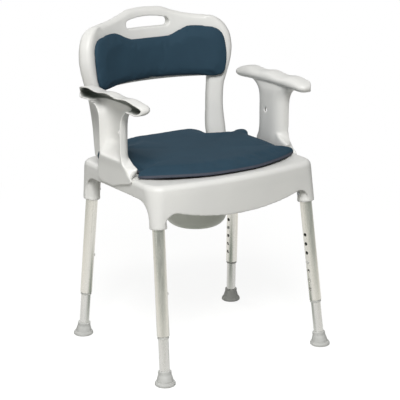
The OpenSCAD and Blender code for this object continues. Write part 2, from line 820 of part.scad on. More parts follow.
// Hollow of the rail, open to the outside
hollow_l = rail_l - 2 * arm_wall - 3;
hollow_cap = rail_cap - arm_wall;
function rail_hollow(y) = let (
    w = rail_w * (0.12 + 0.88 * rail_full(y, rail_l, rail_cap)),
    in = rail_axis - w / 2 + arm_wall,
    mid = max(in + 2, rail_axis + w / 2 - rail_flat * w / rail_w))
    rail_section(y, rail_full(y, hollow_l, hollow_cap), mid, in, rail_axis + 40, rail_t / 2 - arm_wall, 8);

// Upright: height above the rim, front and rear edge, and how far its faces lie outwards
upright = curve([for (p = [[0, -20, 16, 2.5, -5.2], [9, -20, 15.5, 2.2, -5], [20, -19, 13, 1.4, -4],
                           [31, -9.5, 6, 0.6, -1.8], [45, -2, 2, 0.2, 0], [62, 0, 0, 0, 0], [98, 0, 0, 0, 0],
                           [132, -2, 0.5, 0, 0], [150, -8, 5.5, 0, 0.4], [162, -18, 17, 1, 1],
                           [170, -31, 34, 3, 2], [178, -47, 56, 5, 3], [184, -56, 66, 9, 3]])
    [p[0] * arm_h / 190 + 0.6, p[1] - waist_mid - waist_w / 2, p[2] - waist_mid + waist_w / 2,
     arm_face + p[3], arm_x_out + p[4]]], 2);

// Section of the upright, rounded to the inside, drawn in by w and reaching out by over
function upright_ring(p, w, over) = let (
    c = (p[1] + p[2]) / 2,
    h = (p[2] - p[1]) / 2 - w,
    d = p[4] - p[3] - w) concat(
    [[p[4] + over, c + h, seat_h + p[0]]],
    [for (i = [0:14]) let (a = 90 + 180 * i / 14)
        [p[4] - d * pow(abs(cos(a)), 2 / 3), c + h * sign(sin(a)) * pow(abs(sin(a)), 2 / 3), seat_h + p[0]]],
    [[p[4] + over, c - h, seat_h + p[0]]]);

// Channel of the upright, open to the outside, with a sloping floor
channel = concat(
    [for (k = [0, 1, 2, 3]) [channel_floor + [0, 9, 20, 34][k], [1, 0.72, 0.45, 0.2][k]]],
    [for (p = upright) if (p[0] > channel_floor + 42) [p[0], 0]]);

function upright_at(z) = [z,
    lookup(z, [for (p = upright) [p[0], p[1]]]), lookup(z, [for (p = upright) [p[0], p[2]]]),
    lookup(z, [for (p = upright) [p[0], p[3]]]), lookup(z, [for (p = upright) [p[0], p[4]]])];

function channel_ring(c) = let (p = upright_at(c[0]))
    upright_ring([p[0], p[1], p[2], p[3] + c[1] * (arm_depth - arm_wall - 3), p[4]], arm_wall, 40);

// Apron over the shoulder of the seat: height above the rim, front, rear, and how far its faces lie inwards
apron = [for (p = [[-apron_drop, 54, 32, 0, 6.7], [2.5 - apron_drop, 40, 48, 0, 6.7],
                   [7 - apron_drop, 24, 58, 0, 6.7], [-23, 6, 61, 0, 6.7], [-rim_r - 3, -17, 62, 0, 6.7],
                   [-9, -41, 62, 0.9, 6.7], [-5, -45, 62, 3.3, 6.7], [-2, -45.5, 62, 6.8, 6.7],
                   [-0.5, -44.5, 62, 8.8, 6.7], [4, -39, 62, 8.8, 6.7], [9, -32, 62, 8.8, 6.7],
                   [14, -25.5, 62, 8.8, 6.7], [20, -19, 60, 8.8, 6.2], [26, -13, 57, 8.8, 5.2],
                   [33, -7.5, 53, 8.8, 4], [40, -4, 48, 8.8, 3.2]])
    [p[0], p[1] - waist_mid - waist_w / 2, p[2], seat_w / 2 + 0.8 - p[3], arm_x_out + 2.4 - p[4]]];

// The front of the apron runs back towards the inside
function apron_ring(p) = let (r = 1.5, z = seat_h + p[0], back = 1.1 * (p[4] - p[3])) [for (q = concat(
    arc([p[4] - r, p[2] - r], r, 0, 90, 3), [[p[3], p[2]], [p[3], p[1] + back]],
    arc([p[4] - r, p[1] + r], r, 250, 360, 3))) [q[0], q[1], z]];

// Toe in front of the foot of the upright: height above the rim, and its front on the outer and inner side
toe = [[1, -40, -21], [8, -33, -27], [16, -24, -33], [22, -18, -36], [25, -15, -32], [29, -10, -18],
       [35, -3, -6], [44, 6, 7]];
function toe_ring(p) = let (x = arm_face + 2.5, y = -waist_mid - waist_w / 2, z = seat_h + p[0]) [
    [arm_x_out - 6, y + 14, z], [x, y + 14, z], [x, y + p[2] + 7, z], [x + 2, y + p[2] + 2, z],
    [x + 7, y + p[2], z], [arm_x_out - 6, y + p[1], z]];

module armrest(left) {
    color("#e4e3df")
        mirror([left ? 1 : 0, 0, 0])
            difference() {
                union() {
                    difference() {
                        union() {
                            loft([for (y = rail_steps(rail_l, rail_cap)) rail_ring(y)]);
                            loft([for (p = upright) upright_ring(p, 0, 0)]);
                        }
                        loft([for (y = rail_steps(hollow_l, hollow_cap)) rail_hollow(y)]);
                        loft([for (c = channel) channel_ring(c)]);
                    }
                    loft([for (p = apron) apron_ring(p)]);
                    loft([for (p = toe) toe_ring(p)]);
                    translate([tongue_face, -waist_mid - tongue_w / 2, seat_h - tongue_l])
                        cube([tongue_t, tongue_w, tongue_l + 6]);
                }
                translate([arm_face - 20, -3, seat_h + 103])
                    rotate([0, 90, 0])
                        cylinder(d = arm_hole_d, h = 30);
            }
}

// Backrest

// Place u along the curved back, at height z and n behind the front of the pad
function back_at(u, z, n) = let (a = u / back_r * 180 / PI)
    [(back_r + n) * sin(a), back_y + back_lean * (z - back_low) - back_r + (back_r + n) * cos(a), z];

// Upper edge of the back: place along the curve and height above the lower edge of the pad
top_edge = curve([for (p = [[0, 0], [47, 3], [74, 12.5], [106, 22], [136, 27.5], [162, 30], [176, 33]])
    [p[0] * back_half / 227, back_h - p[1]]], 3);

// Posts: height above the seat, inner and outer edge along the curve, and depth
post_top = back_low - seat_h;
posts = [[0.6, post_u - 24.5, post_u + 24.5, 1], [34, post_u - 26, post_u + 24.5, 1],
         [78, post_u - 22, post_u + 23, 1], [122, post_u - 18, post_u + 26, 1],
         [post_top - 24, post_u - 14, back_half - 27, 1], [post_top - 10, post_u - 13, back_half - 22, 1],
         [post_top + 11, post_u - 12, back_half - 15, 1], [post_top + 36, post_u - 10, back_half - 7, 1],
         [post_top + 64, post_u - 10, back_half - 1, 1], [post_top + 88, post_u - 10, back_half, 0.97],
         [post_top + 114, post_u - 10, back_half - 3, 0.9],
         [post_top + 137, post_u - 10, back_half - 14, 0.82],
         [post_top + 149, post_u - 10, back_half - 25, 0.7],
         [post_top + 157, post_u - 9, back_half - 37, 0.55],
         [post_top + 161, post_u - 5, back_half - 48, 0.4]];

frame_n = back_pad_t + rest_gap;

function post_ring(p, side) = let (d = post_d * p[3]) [for (q = section((p[2] - p[1]) / 2, d / 2, 3.2, 24))
    back_at(side * ((p[1] + p[2]) / 2 + q[0]), seat_h + p[0], frame_n + d / 2 + q[1])];

function panel_ring(u, top) = let (h = top + 4, r = panel_t / 2) [for (q = concat(
    arc([frame_n + r, back_low + top - r], r, 0, 180, 8),
    arc([frame_n + r, back_low - 4 + r], r, 180, 360, 8)))
    back_at(u, q[1], q[0])];

module backrest_frame() {
    edge = concat([for (i = [len(top_edge) - 1:-1:1]) [-top_edge[i][0], top_edge[i][1]]], top_edge);
    color("#e1e0dc")
        difference() {
            union() {
                loft([for (p = edge) panel_ring(p[0], p[1])]);
                loft([for (p = posts) post_ring(p, 1)]);
                mirror([1, 0, 0])
                    loft([for (p = posts) post_ring(p, 1)]);
                for (s = [-1, 1])
                    post_axis(s)
                        translate([0, 0, -tenon_l])
                            linear_extrude(tenon_l + 12)
                                stadium(tenon_w, tenon_d);
            }
            // Handle slot
            translate([0, 400, back_low + back_pad_h - 0.5])
                rotate([90, 0, 0])
                    linear_extrude(300)
                        polygon(concat(
                            [for (i = [0:8]) let (x = (slot_half - slot_h / 2) * (i / 4 - 1)) [x, 0]],
                            arc([slot_half - slot_h / 2, slot_h / 2], slot_h / 2, -67.5, 67.5, 6),
                            [for (i = [0:8]) let (x = (slot_half - slot_h / 2) * (1 - i / 4))
                                [x, slot_h + 6 * (1 - pow(x / (slot_half - slot_h / 2), 2))]],
                            arc([slot_h / 2 - slot_half, slot_h / 2], slot_h / 2, 112.5, 247.5, 6)));
            studs(stud_d + 2 * lift_gap, -8, panel_t + 20);
        }
}

// Studs along the direction in which the pad pulls off
module studs(d, from, to) {
    for (x = [-stud_x, stud_x], z = stud_z)
        translate(back_at(x, back_low + z, back_pad_t))
            rotate([-90 - atan(back_lean), 0, 0])
                translate([0, 0, from])
                    cylinder(d = d, h = to - from);
}

// Outline of the back pad above its lower edge
back_pad_half = back_half - back_rim;
ear = back_pad_h;
low_top = back_pad_h - back_pad_dip;
pad_edge = curve([[0, 2], [118, -2], [150, -4], [back_pad_half - 38, -4], [back_pad_half - 22, -1],
                  [back_pad_half - 10, 9], [back_pad_half - 4, 28], [back_pad_half - 0.5, 52],
                  [back_pad_half, 77], [back_pad_half - 4, ear - 33], [back_pad_half - 13, ear - 17],
                  [back_pad_half - 30, ear - 7], [back_pad_half - 58, ear - 2.5], [back_pad_half - 93, ear],
                  [back_pad_half - 114, ear - 5], [back_pad_half - 136, ear - 15.5],
                  [back_pad_half - 160, low_top], [0, low_top]], 3);

function back_pad_ring(k, d, n) = let (c = [0, back_pad_h / 2 - 8]) [for (p = both(pad_edge)) let (
    q = (p - c) * k,
    r = norm(q),
    m = c + q * (r - d) / r)
    back_at(m[0], back_low + m[1], n)];

module back_pad() {
    t = back_pad_t;
    color("#34495a")
        loft(concat(
            [for (k = [0.2, 0.4, 0.6, 0.8]) back_pad_ring(k, 0, t)],
            [back_pad_ring(1, 3, t), back_pad_ring(1, 0.2, 0.65 * t), back_pad_ring(1, 1.5, 0.35 * t),
             back_pad_ring(1, 6, 0.1 * t)],
            [for (k = [0.85, 0.65, 0.45, 0.2]) back_pad_ring(k, 0, -back_crown * (1 - 0.5 * k * k))]));
}

module back_pad_studs() {
    color("#4a4f55")
        studs(stud_d, rest_gap + 0.2, panel_t + 4);
}

seat_shell();
leg_tube(true, true);  // leg_tube_front_left
leg_tube(true, false);  // leg_tube_front_right
leg_tube(false, true);  // leg_tube_rear_left
leg_tube(false, false);  // leg_tube_rear_right
leg_bush(true, true);  // leg_bush_front_left
leg_bush(true, false);  // leg_bush_front_right
leg_bush(false, true);  // leg_bush_rear_left
leg_bush(false, false);  // leg_bush_rear_right
inner_tube(true, true);  // inner_tube_front_left
inner_tube(true, false);  // inner_tube_front_right
inner_tube(false, true);  // inner_tube_rear_left
inner_tube(false, false);  // inner_tube_rear_right
foot(true, true);  // foot_front_left
foot(true, false);  // foot_front_right
foot(false, true);  // foot_rear_left
foot(false, false);  // foot_rear_right
button(true, true);  // button_front_left
button(true, false);  // button_front_right
button(false, true);  // button_rear_left
button(false, false);  // button_rear_right
button_spring(true, true);  // button_spring_front_left
button_spring(true, false);  // button_spring_front_right
button_spring(false, true);  // button_spring_rear_left
button_spring(false, false);  // button_spring_rear_right
socket_screws();
pan_rail(true);  // pan_rail_left
pan_rail(false);  // pan_rail_right
pan_rail_screws();
pan();
seat_pad();
seat_pad_board();
armrest(true);  // armrest_left
armrest(false);  // armrest_right
backrest_frame();
back_pad();
back_pad_studs();
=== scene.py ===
# %% [markdown]
# This lesson dresses a commode chair: a moulded seat on four sliding legs, two plug-in armrests, a back
# that lifts off, two soft pads, and a pan under the seat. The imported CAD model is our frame. Every rigid
# part is already in its place, in metres, so we load it first and never move it. Each piece that we add
# is modelled where it belongs, and rides on the body that carries it.

# %% Load the frame
import bpy
import json
import math
import numpy as np
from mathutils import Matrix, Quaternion, Vector


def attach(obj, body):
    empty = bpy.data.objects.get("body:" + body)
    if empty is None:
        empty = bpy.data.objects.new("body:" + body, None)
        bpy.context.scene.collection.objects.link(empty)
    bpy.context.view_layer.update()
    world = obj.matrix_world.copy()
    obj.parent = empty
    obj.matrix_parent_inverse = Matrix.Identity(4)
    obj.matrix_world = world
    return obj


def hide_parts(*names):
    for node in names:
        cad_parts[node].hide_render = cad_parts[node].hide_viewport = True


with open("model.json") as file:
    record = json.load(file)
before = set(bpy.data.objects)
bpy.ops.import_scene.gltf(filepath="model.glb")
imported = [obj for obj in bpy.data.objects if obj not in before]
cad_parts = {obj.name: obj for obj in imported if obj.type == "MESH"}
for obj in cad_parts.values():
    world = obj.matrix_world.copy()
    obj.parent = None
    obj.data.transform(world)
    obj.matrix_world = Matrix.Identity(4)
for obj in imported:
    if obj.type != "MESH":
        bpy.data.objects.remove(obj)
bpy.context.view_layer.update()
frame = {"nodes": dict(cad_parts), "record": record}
nodes = frame["nodes"]
members_of = frame["record"]["behaviour"]["bodies"]
body_of = {node: body for body, members in members_of.items() for node in members}
corners = ["front_left", "front_right", "rear_left", "rear_right"]
sides = {"left": -1, "right": 1}
MM = 0.001

# %% [markdown]
# The camera stands where the photographer stood: a little to the left, slightly above the seat, and far
# enough away that upright lines stay upright. A long lens from far away does that. We could drag a camera
# about until the picture looks right, but a turn, a height and a distance are easier to read and to
# change.

# %% Camera
photo_side = 400
focal_pixels = 1420.9
sensor_width = 36.0
view_target = Vector((0, -0.025, 0.3942))
view_turn = math.radians(-33.5)
view_rise = math.radians(16.1)
view_roll = math.radians(-0.1)
view_distance = 3.7828

towards_camera = Vector((math.sin(view_turn) * math.cos(view_rise),
                         -math.cos(view_turn) * math.cos(view_rise),
                         math.sin(view_rise)))
bpy.ops.object.camera_add(location=view_target + view_distance * towards_camera)
camera = bpy.context.object
aim = towards_camera.to_track_quat("Z", "Y") @ Quaternion((0, 0, 1), view_roll)
camera.rotation_euler = aim.to_euler()
camera.data.sensor_width = sensor_width
camera.data.lens = focal_pixels / photo_side * sensor_width
bpy.context.scene.camera = camera
print("camera lens", round(camera.data.lens, 1), "mm")

# %% [markdown]
# A material is a small net of nodes. We write one helper that adds a node with its settings and links,
# and one that turns a colour picked on the screen into the linear numbers that a renderer counts with.
# Every finish below starts with `finish`, which gives a Principled shader that already reaches the
# output. No real surface has one even colour, so each finish is `mottled` with two close tones.

# %% Helpers for materials
def linear(colour, alpha=1.0):
    """A hex colour as the eye sees it, turned to linear light."""
    parts = [int(colour[k:k + 2], 16) / 255 for k in (1, 3, 5)]
    return [c / 12.92 if c <= 0.04045 else ((c + 0.055) / 1.055) ** 2.4 for c in parts] + [alpha]


def add(tree, kind, inputs=None, **settings):
    """Add one node. A socket among the inputs is linked, anything else is set as a value."""
    made = tree.nodes.new(kind)
    for name, value in settings.items():
        setattr(made, name, value)
    for name, value in (inputs or {}).items():
        if isinstance(value, bpy.types.NodeSocket):
            tree.links.new(value, made.inputs[name])
        else:
            made.inputs[name].default_value = value
    return made


def finish(name, **sockets):
    """A new material with a Principled shader whose plain values are set on its own sockets."""
    made = bpy.data.materials.new(name)
    made.use_nodes = True
    made.node_tree.nodes.clear()
    values = {socket.replace("_", " "): value for socket, value in sockets.items()}
    shader = add(made.node_tree, "ShaderNodeBsdfPrincipled", values)
    add(made.node_tree, "ShaderNodeOutputMaterial", {"Surface": shader.outputs["BSDF"]})
    return made, made.node_tree, shader


def grain_scale(size_mm):
    """The Scale of a texture whose grains are to be this many millimetres apart."""
    return 1 / (size_mm * MM)


def mottled(tree, place, patch_mm, detail, light, dark, spread=0.2):
    """Soft patches of two close tones. Gives the pattern's value and its colour."""
    patches = add(tree, "ShaderNodeTexNoise", {"Vector": place, "Scale": grain_scale(patch_mm),
                                               "Detail": detail})
    tone = add(tree, "ShaderNodeValToRGB", {"Fac": patches.outputs["Fac"]})
    darkest, lightest = tone.color_ramp.elements
    darkest.position = 0.5 - spread
    darkest.color = linear(dark)
    lightest.position = 0.5 + spread
    lightest.color = linear(light)
    return patches.outputs["Fac"], tone.outputs["Color"]


def banded(tree, place, line_mm, below, above):
    """One colour below a height on the piece and another above it, with a short blend under the line."""
    blend_mm = 2
    height = add(tree, "ShaderNodeSeparateXYZ", {"Vector": place}).outputs["Z"]
    share = add(tree, "ShaderNodeMapRange", {"Value": height, "From Min": (line_mm - blend_mm) * MM,
                                             "From Max": line_mm * MM})
    band = add(tree, "ShaderNodeMix", {0: share.outputs["Result"], 6: below, 7: above}, data_type="RGBA")
    return band.outputs[2]


print("helpers for materials are ready")

# %% [markdown]
# The white parts are injection-moulded polypropylene. The steel mould was spark-eroded, so the skin has a
# fine even grain that breaks up the gloss into a satin sheen. The colour is nearly even, with faint broad
# drifts from the flow of the melt and from hands. In deep hollows, such as the open side of an armrest,
# painted shade darkens the colour towards grey, beyond what the lamps give. The real grain is finer than a
# pixel, so it is drawn coarser than life, and shallow.

# %% Moulded plastics
# Painted shade: deep recesses darken towards this grey, where walls stand within this reach.
painted_shade_tone = "#4b564e"
painted_shade_reach_mm = 55


def moulded_plastic(name, light, dark, roughness, grain_mm=1.6, depth_mm=0.05):
    """Satin injection moulding: two close tones, painted shade that darkens deep recesses, and a shallow
    grain.
    """
    made, tree, shader = finish(name, IOR=1.49, Specular_IOR_Level=0.45)
    place = add(tree, "ShaderNodeTexCoord").outputs["Object"]
    tone = mottled(tree, place, 140, 3.0, light, dark)[1]
    # Painted shade: ambient occlusion mixes the shade tone into the colour in deep recesses.
    occlusion_probe = add(tree, "ShaderNodeAmbientOcclusion", {"Distance": painted_shade_reach_mm * MM}, samples=8, only_local=True)
    unshaded_share = add(tree, "ShaderNodeMapRange", {"Value": occlusion_probe.outputs["AO"], "From Min": 0.2,
                                                "From Max": 0.62})
    painted_shade_mix = add(tree, "ShaderNodeMix", {0: unshaded_share.outputs["Result"], 6: linear(painted_shade_tone), 7: tone},
               data_type="RGBA")
    tree.links.new(painted_shade_mix.outputs[2], shader.inputs["Base Color"])
    rub = add(tree, "ShaderNodeTexNoise", {"Vector": place, "Scale": grain_scale(35), "Detail": 4.0})
    gloss = add(tree, "ShaderNodeMapRange", {"Value": rub.outputs["Fac"], "From Min": 0.3, "From Max": 0.7,
                                             "To Min": roughness - 0.05, "To Max": roughness + 0.06})
    tree.links.new(gloss.outputs["Result"], shader.inputs["Roughness"])
    grain = add(tree, "ShaderNodeTexNoise", {"Vector": place, "Scale": grain_scale(grain_mm), "Detail": 2.0})
    bump = add(tree, "ShaderNodeBump", {"Height": grain.outputs["Fac"], "Strength": 0.35,
                                        "Distance": depth_mm * MM})
    tree.links.new(bump.outputs["Normal"], shader.inputs["Normal"])
    return made


shell_finish = moulded_plastic("moulded polypropylene, off-white", "#e4e3df", "#dfdedb", 0.42)
armrest_finish = moulded_plastic("moulded polypropylene, armrest white", "#e6e5e1", "#e1e0dd", 0.40)
bush_finish = moulded_plastic("moulded nylon, light grey", "#c9c9c5", "#c2c2be", 0.45)
button_finish = moulded_plastic("moulded acetal, pale grey", "#d5d5d1", "#cdcdc9", 0.38)
rail_finish = moulded_plastic("moulded polypropylene, rail grey", "#c6c7c3", "#bdbeba", 0.48)
pan_finish = moulded_plastic("moulded polypropylene, pan grey", "#d2d4cb", "#c8cac1", 0.40)
board_finish = moulded_plastic("pressed fibre board, sealed", "#5b5e62", "#4f5256", 0.6, 2.5, 0.1)
print("plastics:", len(bpy.data.materials))

# %% [markdown]
# The leg tubes are drawn aluminium with a clear satin anodised coat. Drawing leaves fine lines along the
# tube, so the noise is stretched along the upright axis. Those lines give the metal its long soft
# highlights, and are drawn coarser than life, because finer ones only speckle. The inner tubes get painted
# shade on the end that never leaves the outer tube, so that the height holes look dark. Screws, studs and
# springs are zinc-plated steel, which is greyer and a little blue.

# %% Metals
# Painted shade: the hidden upper end of an inner tube takes this dark tone, so the height holes look dark.
painted_hole_shade_tone = "#343a36"


def drawn_metal(name, light, dark, roughness, metallic, line_mm, stretch=0.02, painted_shade_line_mm=None):
    """Metal with fine lines along its length, nearly upright here, and perhaps painted shade on its upper
    end.
    """
    made, tree, shader = finish(name, Metallic=metallic)
    place = add(tree, "ShaderNodeTexCoord").outputs["Object"]
    drawn = add(tree, "ShaderNodeMapping", {"Vector": place, "Scale": (1, 1, stretch)})
    lines, colour = mottled(tree, drawn.outputs["Vector"], line_mm, 1.0, light, dark)
    # Painted shade above the given height on the piece.
    if painted_shade_line_mm:
        colour = banded(tree, place, painted_shade_line_mm, colour, linear(painted_hole_shade_tone))
    tree.links.new(colour, shader.inputs["Base Color"])
    gloss = add(tree, "ShaderNodeMapRange", {"Value": lines, "From Min": 0.3, "From Max": 0.7,
                                             "To Min": roughness - 0.03, "To Max": roughness + 0.03})
    tree.links.new(gloss.outputs["Result"], shader.inputs["Roughness"])
    return made


tube_finish = drawn_metal("drawn aluminium, satin anodised", "#e2e0d9", "#dcdad3", 0.24, 0.85, 6)
inner_tube_finish = drawn_metal("drawn aluminium, painted shade on upper end", "#dddcd8", "#d7d6d2", 0.28, 0.75, 6,
                                painted_shade_line_mm=206)
steel_finish = drawn_metal("turned steel, zinc plated", "#b9bcc0", "#a6a9ad", 0.3, 0.95, 0.6, 1.0)
print("plastics and metals:", len(bpy.data.materials))

# %% [markdown]
# The feet are moulded rubber: dull, a little dusty, with a fine pitted skin. The pads are foam with a
# tough polyurethane skin in petrol blue. That skin has a fine leather-like grain, hardly any gloss, and a
# soft sheen where it turns away from us. Along the seat pad's lowest band the colour is greyer and lighter,
# a painted reflection of the white seat below it.

# %% Rubber and pad skin
def pitted_rubber(name, light, dark):
    """Moulded rubber, dull and slightly mottled."""
    made, tree, shader = finish(name, IOR=1.5, Specular_IOR_Level=0.3)
    place = add(tree, "ShaderNodeTexCoord").outputs["Object"]
    dust, tone = mottled(tree, place, 18, 5.0, light, dark)
    tree.links.new(tone, shader.inputs["Base Color"])
    gloss = add(tree, "ShaderNodeMapRange", {"Value": dust, "To Min": 0.62, "To Max": 0.8})
    tree.links.new(gloss.outputs["Result"], shader.inputs["Roughness"])
    pits = add(tree, "ShaderNodeTexVoronoi", {"Vector": place, "Scale": grain_scale(1.8)})
    bump = add(tree, "ShaderNodeBump", {"Height": pits.outputs["Distance"], "Strength": 0.25,
                                        "Distance": 0.08 * MM})
    tree.links.new(bump.outputs["Normal"], shader.inputs["Normal"])
    return made


def grained_skin(name, light, dark, painted_reflection_tone=None, painted_reflection_top_mm=None):
    """Polyurethane skin over foam: leather-like cells, a soft sheen and perhaps a painted reflection below.
    """
    made, tree, shader = finish(name, IOR=1.46, Specular_IOR_Level=0.1, Sheen_Weight=0.02,
                                Sheen_Roughness=0.4, Sheen_Tint=linear("#8fa2b4"))
    place = add(tree, "ShaderNodeTexCoord").outputs["Object"]
    colour = mottled(tree, place, 90, 4.0, light, dark, spread=0.25)[1]
    # Painted reflection of the white seat: the band below the given height is greyer and lighter.
    if painted_reflection_tone:
        colour = banded(tree, place, painted_reflection_top_mm, linear(painted_reflection_tone), colour)
    tree.links.new(colour, shader.inputs["Base Color"])
    cells = add(tree, "ShaderNodeTexVoronoi", {"Vector": place, "Scale": grain_scale(1.7)},
                feature="DISTANCE_TO_EDGE")
    gloss = add(tree, "ShaderNodeMapRange", {"Value": cells.outputs["Distance"], "From Max": 0.4,
                                             "To Min": 0.74, "To Max": 0.62})
    tree.links.new(gloss.outputs["Result"], shader.inputs["Roughness"])
    bump = add(tree, "ShaderNodeBump", {"Height": cells.outputs["Distance"], "Strength": 0.3,
                                        "Distance": 0.12 * MM})
    tree.links.new(bump.outputs["Normal"], shader.inputs["Normal"])
    return made


foot_finish = pitted_rubber("moulded rubber, light grey", "#d0d0cd", "#c3c3c0")
back_pad_finish = grained_skin("polyurethane skin, petrol blue", "#2f4655", "#2b404e")
# The seat pad carries a painted reflection along its lowest band.
seat_pad_finish = grained_skin("polyurethane skin, petrol blue with a grey hem", "#2f4655", "#2b404e",
                               painted_reflection_tone="#4a4e58", painted_reflection_top_mm=516)
print("all finishes:", len(bpy.data.materials))

# %% [markdown]
# Before we shape anything, we need a few tools of the trade. One selects a single piece, because an
# operator acts on all that is selected. One adds a modifier and applies it at once. One copies a CAD part
# and joins its loose triangles, and two read where a mesh's points are and which way they face.

# %% Helpers for meshes
def only(piece):
    """Select one piece and nothing else."""
    bpy.ops.object.select_all(action="DESELECT")
    piece.select_set(True)
    bpy.context.view_layer.objects.active = piece


def apply_modifier(piece, kind, **settings):
    """Add a modifier, set it and apply it at once."""
    only(piece)
    made = piece.modifiers.new(kind.lower(), kind)
    for name, value in settings.items():
        setattr(made, name, value)
    bpy.ops.object.modifier_apply(modifier=made.name)


def merged_copy(node, name):
    """A copy of a CAD node's mesh with its loose triangles joined at their corners."""
    piece = bpy.data.objects.new(name, nodes[node].data.copy())
    bpy.context.scene.collection.objects.link(piece)
    piece.data.materials.clear()
    only(piece)
    bpy.ops.mesh.customdata_custom_splitnormals_clear()
    bpy.ops.object.mode_set(mode="EDIT")
    bpy.ops.mesh.select_all(action="SELECT")
    bpy.ops.mesh.remove_doubles(threshold=0.01 * MM)
    bpy.ops.object.mode_set(mode="OBJECT")
    return piece


def points_of(piece):
    """The places of a mesh's points as rows of three numbers."""
    flat = np.empty(len(piece.data.vertices) * 3)
    piece.data.vertices.foreach_get("co", flat)
    return flat.reshape(-1, 3)


def normals_of(piece):
    """The directions that a mesh's points face."""
    flat = np.empty(len(piece.data.vertices) * 3)
    piece.data.vertex_normals.foreach_get("vector", flat)
    return flat.reshape(-1, 3)


def move_points(piece, places):
    """Put a mesh's points at new places."""
    piece.data.vertices.foreach_set("co", places.ravel())
    piece.data.update()


print("helpers for meshes are ready")

# %% [markdown]
# The moulded parts come from the CAD solids, which are built from flat facets so that they stay light. A
# mould has none of those facets. So each facet is split into small ones, and every new point is lifted
# onto the round skin that the normals at the facet's corners describe. A subdivision surface would shrink
# the part instead, and this keeps the corners where they are.

# %% Round skins from flat facets
crease_angle = math.radians(42)
most_bulge = 1.4 * MM
bulge_share = 0.75


def bulged_copy(node, name, steps=6):
    """A CAD node's copy whose facets are split and bulged towards the skin that their normals ask for."""
    piece = merged_copy(node, name)
    bpy.ops.object.shade_smooth_by_angle(angle=crease_angle)
    apply_modifier(piece, "WEIGHTED_NORMAL", mode="FACE_AREA", keep_sharp=True)
    mesh = piece.data
    corner_point = np.empty(len(mesh.loops), int)
    mesh.loops.foreach_get("vertex_index", corner_point)
    normal = np.empty(len(mesh.loops) * 3)
    mesh.corner_normals.foreach_get("vector", normal)
    normal = normal.reshape(-1, 3, 3)
    place = points_of(piece)[corner_point].reshape(-1, 3, 3)
    grid = [(i, j) for i in range(steps + 1) for j in range(steps + 1 - i)]
    share = np.array([(i, j, steps - i - j) for i, j in grid]) / steps
    at = {pair: k for k, pair in enumerate(grid)}
    small = [(at[i, j], at[i + 1, j], at[i, j + 1]) for i, j in grid if i + j < steps]
    small += [(at[i + 1, j], at[i + 1, j + 1], at[i, j + 1]) for i, j in grid if i + j < steps - 1]
    flat = np.einsum("gk,fkc->fgc", share, place)
    bulge = np.zeros_like(flat)
    for k in range(3):
        height = ((flat - place[:, None, k]) * normal[:, None, k]).sum(-1, keepdims=True)
        bulge -= share[None, :, k, None] * height * normal[:, None, k]
    reach = np.linalg.norm(bulge, axis=-1, keepdims=True)
    bulge *= bulge_share * np.minimum(1, most_bulge / np.maximum(reach, 1e-9))
    skin = (flat + bulge).reshape(-1, 3)
    faces = (np.array(small)[None] + np.arange(len(place))[:, None, None] * len(grid)).reshape(-1, 3)
    mesh.clear_geometry()
    mesh.from_pydata(skin.tolist(), [], faces.tolist())
    mesh.update()
    return piece


print("facets bulge by up to", most_bulge / MM, "mm")

# %% [markdown]
# A moulding has no sharp edge either. A voxel remesh and a few rounds of smoothing give every edge its
# small radius. A bevel would need clean edge loops, which a cut CAD solid doesn't have. Smoothing also
# closes a small hole a little, so a hole that shows is drilled again afterwards, as a boolean with a
# cylinder.

# %% Helpers for mouldings
def soften(piece, voxel_mm, rounds, most_triangles=190000):
    """Remesh the piece evenly, round its edges and keep it under a count of triangles."""
    apply_modifier(piece, "REMESH", mode="VOXEL", voxel_size=voxel_mm * MM)
    apply_modifier(piece, "SMOOTH", factor=0.5, iterations=rounds)
    triangles = 2 * len(piece.data.polygons)
    if triangles > most_triangles:
        apply_modifier(piece, "DECIMATE", ratio=most_triangles / triangles)
    only(piece)
    bpy.ops.object.shade_smooth()


def ease(piece, region, rounds):
    """Smooth only the points of a region."""
    group = piece.vertex_groups.new(name="eased")
    group.add(np.flatnonzero(region).tolist(), 1.0, "REPLACE")
    apply_modifier(piece, "SMOOTH", factor=0.5, iterations=rounds, vertex_group=group.name)
    piece.vertex_groups.clear()


def drill(piece, spot, diameter, depth):
    """Cut a round hole along X through the piece."""
    bpy.ops.object.select_all(action="DESELECT")
    bpy.ops.mesh.primitive_cylinder_add(vertices=48, radius=diameter / 2, depth=depth, location=spot,
                                        rotation=(0, math.pi / 2, 0))
    cutter = bpy.context.object
    apply_modifier(piece, "BOOLEAN", operation="DIFFERENCE", object=cutter, solver="EXACT")
    bpy.data.objects.remove(cutter)


def stand_in(piece, node, surface):
    """The piece takes a CAD node's place: it rides on the same body and has the given finish."""
    piece.data.materials.append(surface)
    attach(piece, body_of[node])
    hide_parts(node)
    print(piece.name, len(piece.data.polygons), "faces on", body_of[node])


print("helpers for mouldings are ready")

# %% [markdown]
# The seat shell is one moulding with a dished top, skirts, arches and four leg housings. The two armrests
# and the back frame are mouldings as well. All four go through the same steps, with a voxel that is a
# little smaller than half of a wall, so that no wall breaks open. The foot of an armrest flows into its
# apron in one long curve, so that region is eased with more rounds.

# %% Moulded shells
foot_bottom_mm = 508
foot_top_mm = 566
foot_outside_mm = 229
foot_rear_mm = 60
hole_across_mm = 225
hole_along_mm = -3
hole_up_mm = 608
hole_mm = 11.5
hole_depth_mm = 24

seat_shell = bulged_copy("seat_shell", "moulded_seat_shell")
soften(seat_shell, 2.3, 5)
stand_in(seat_shell, "seat_shell", shell_finish)

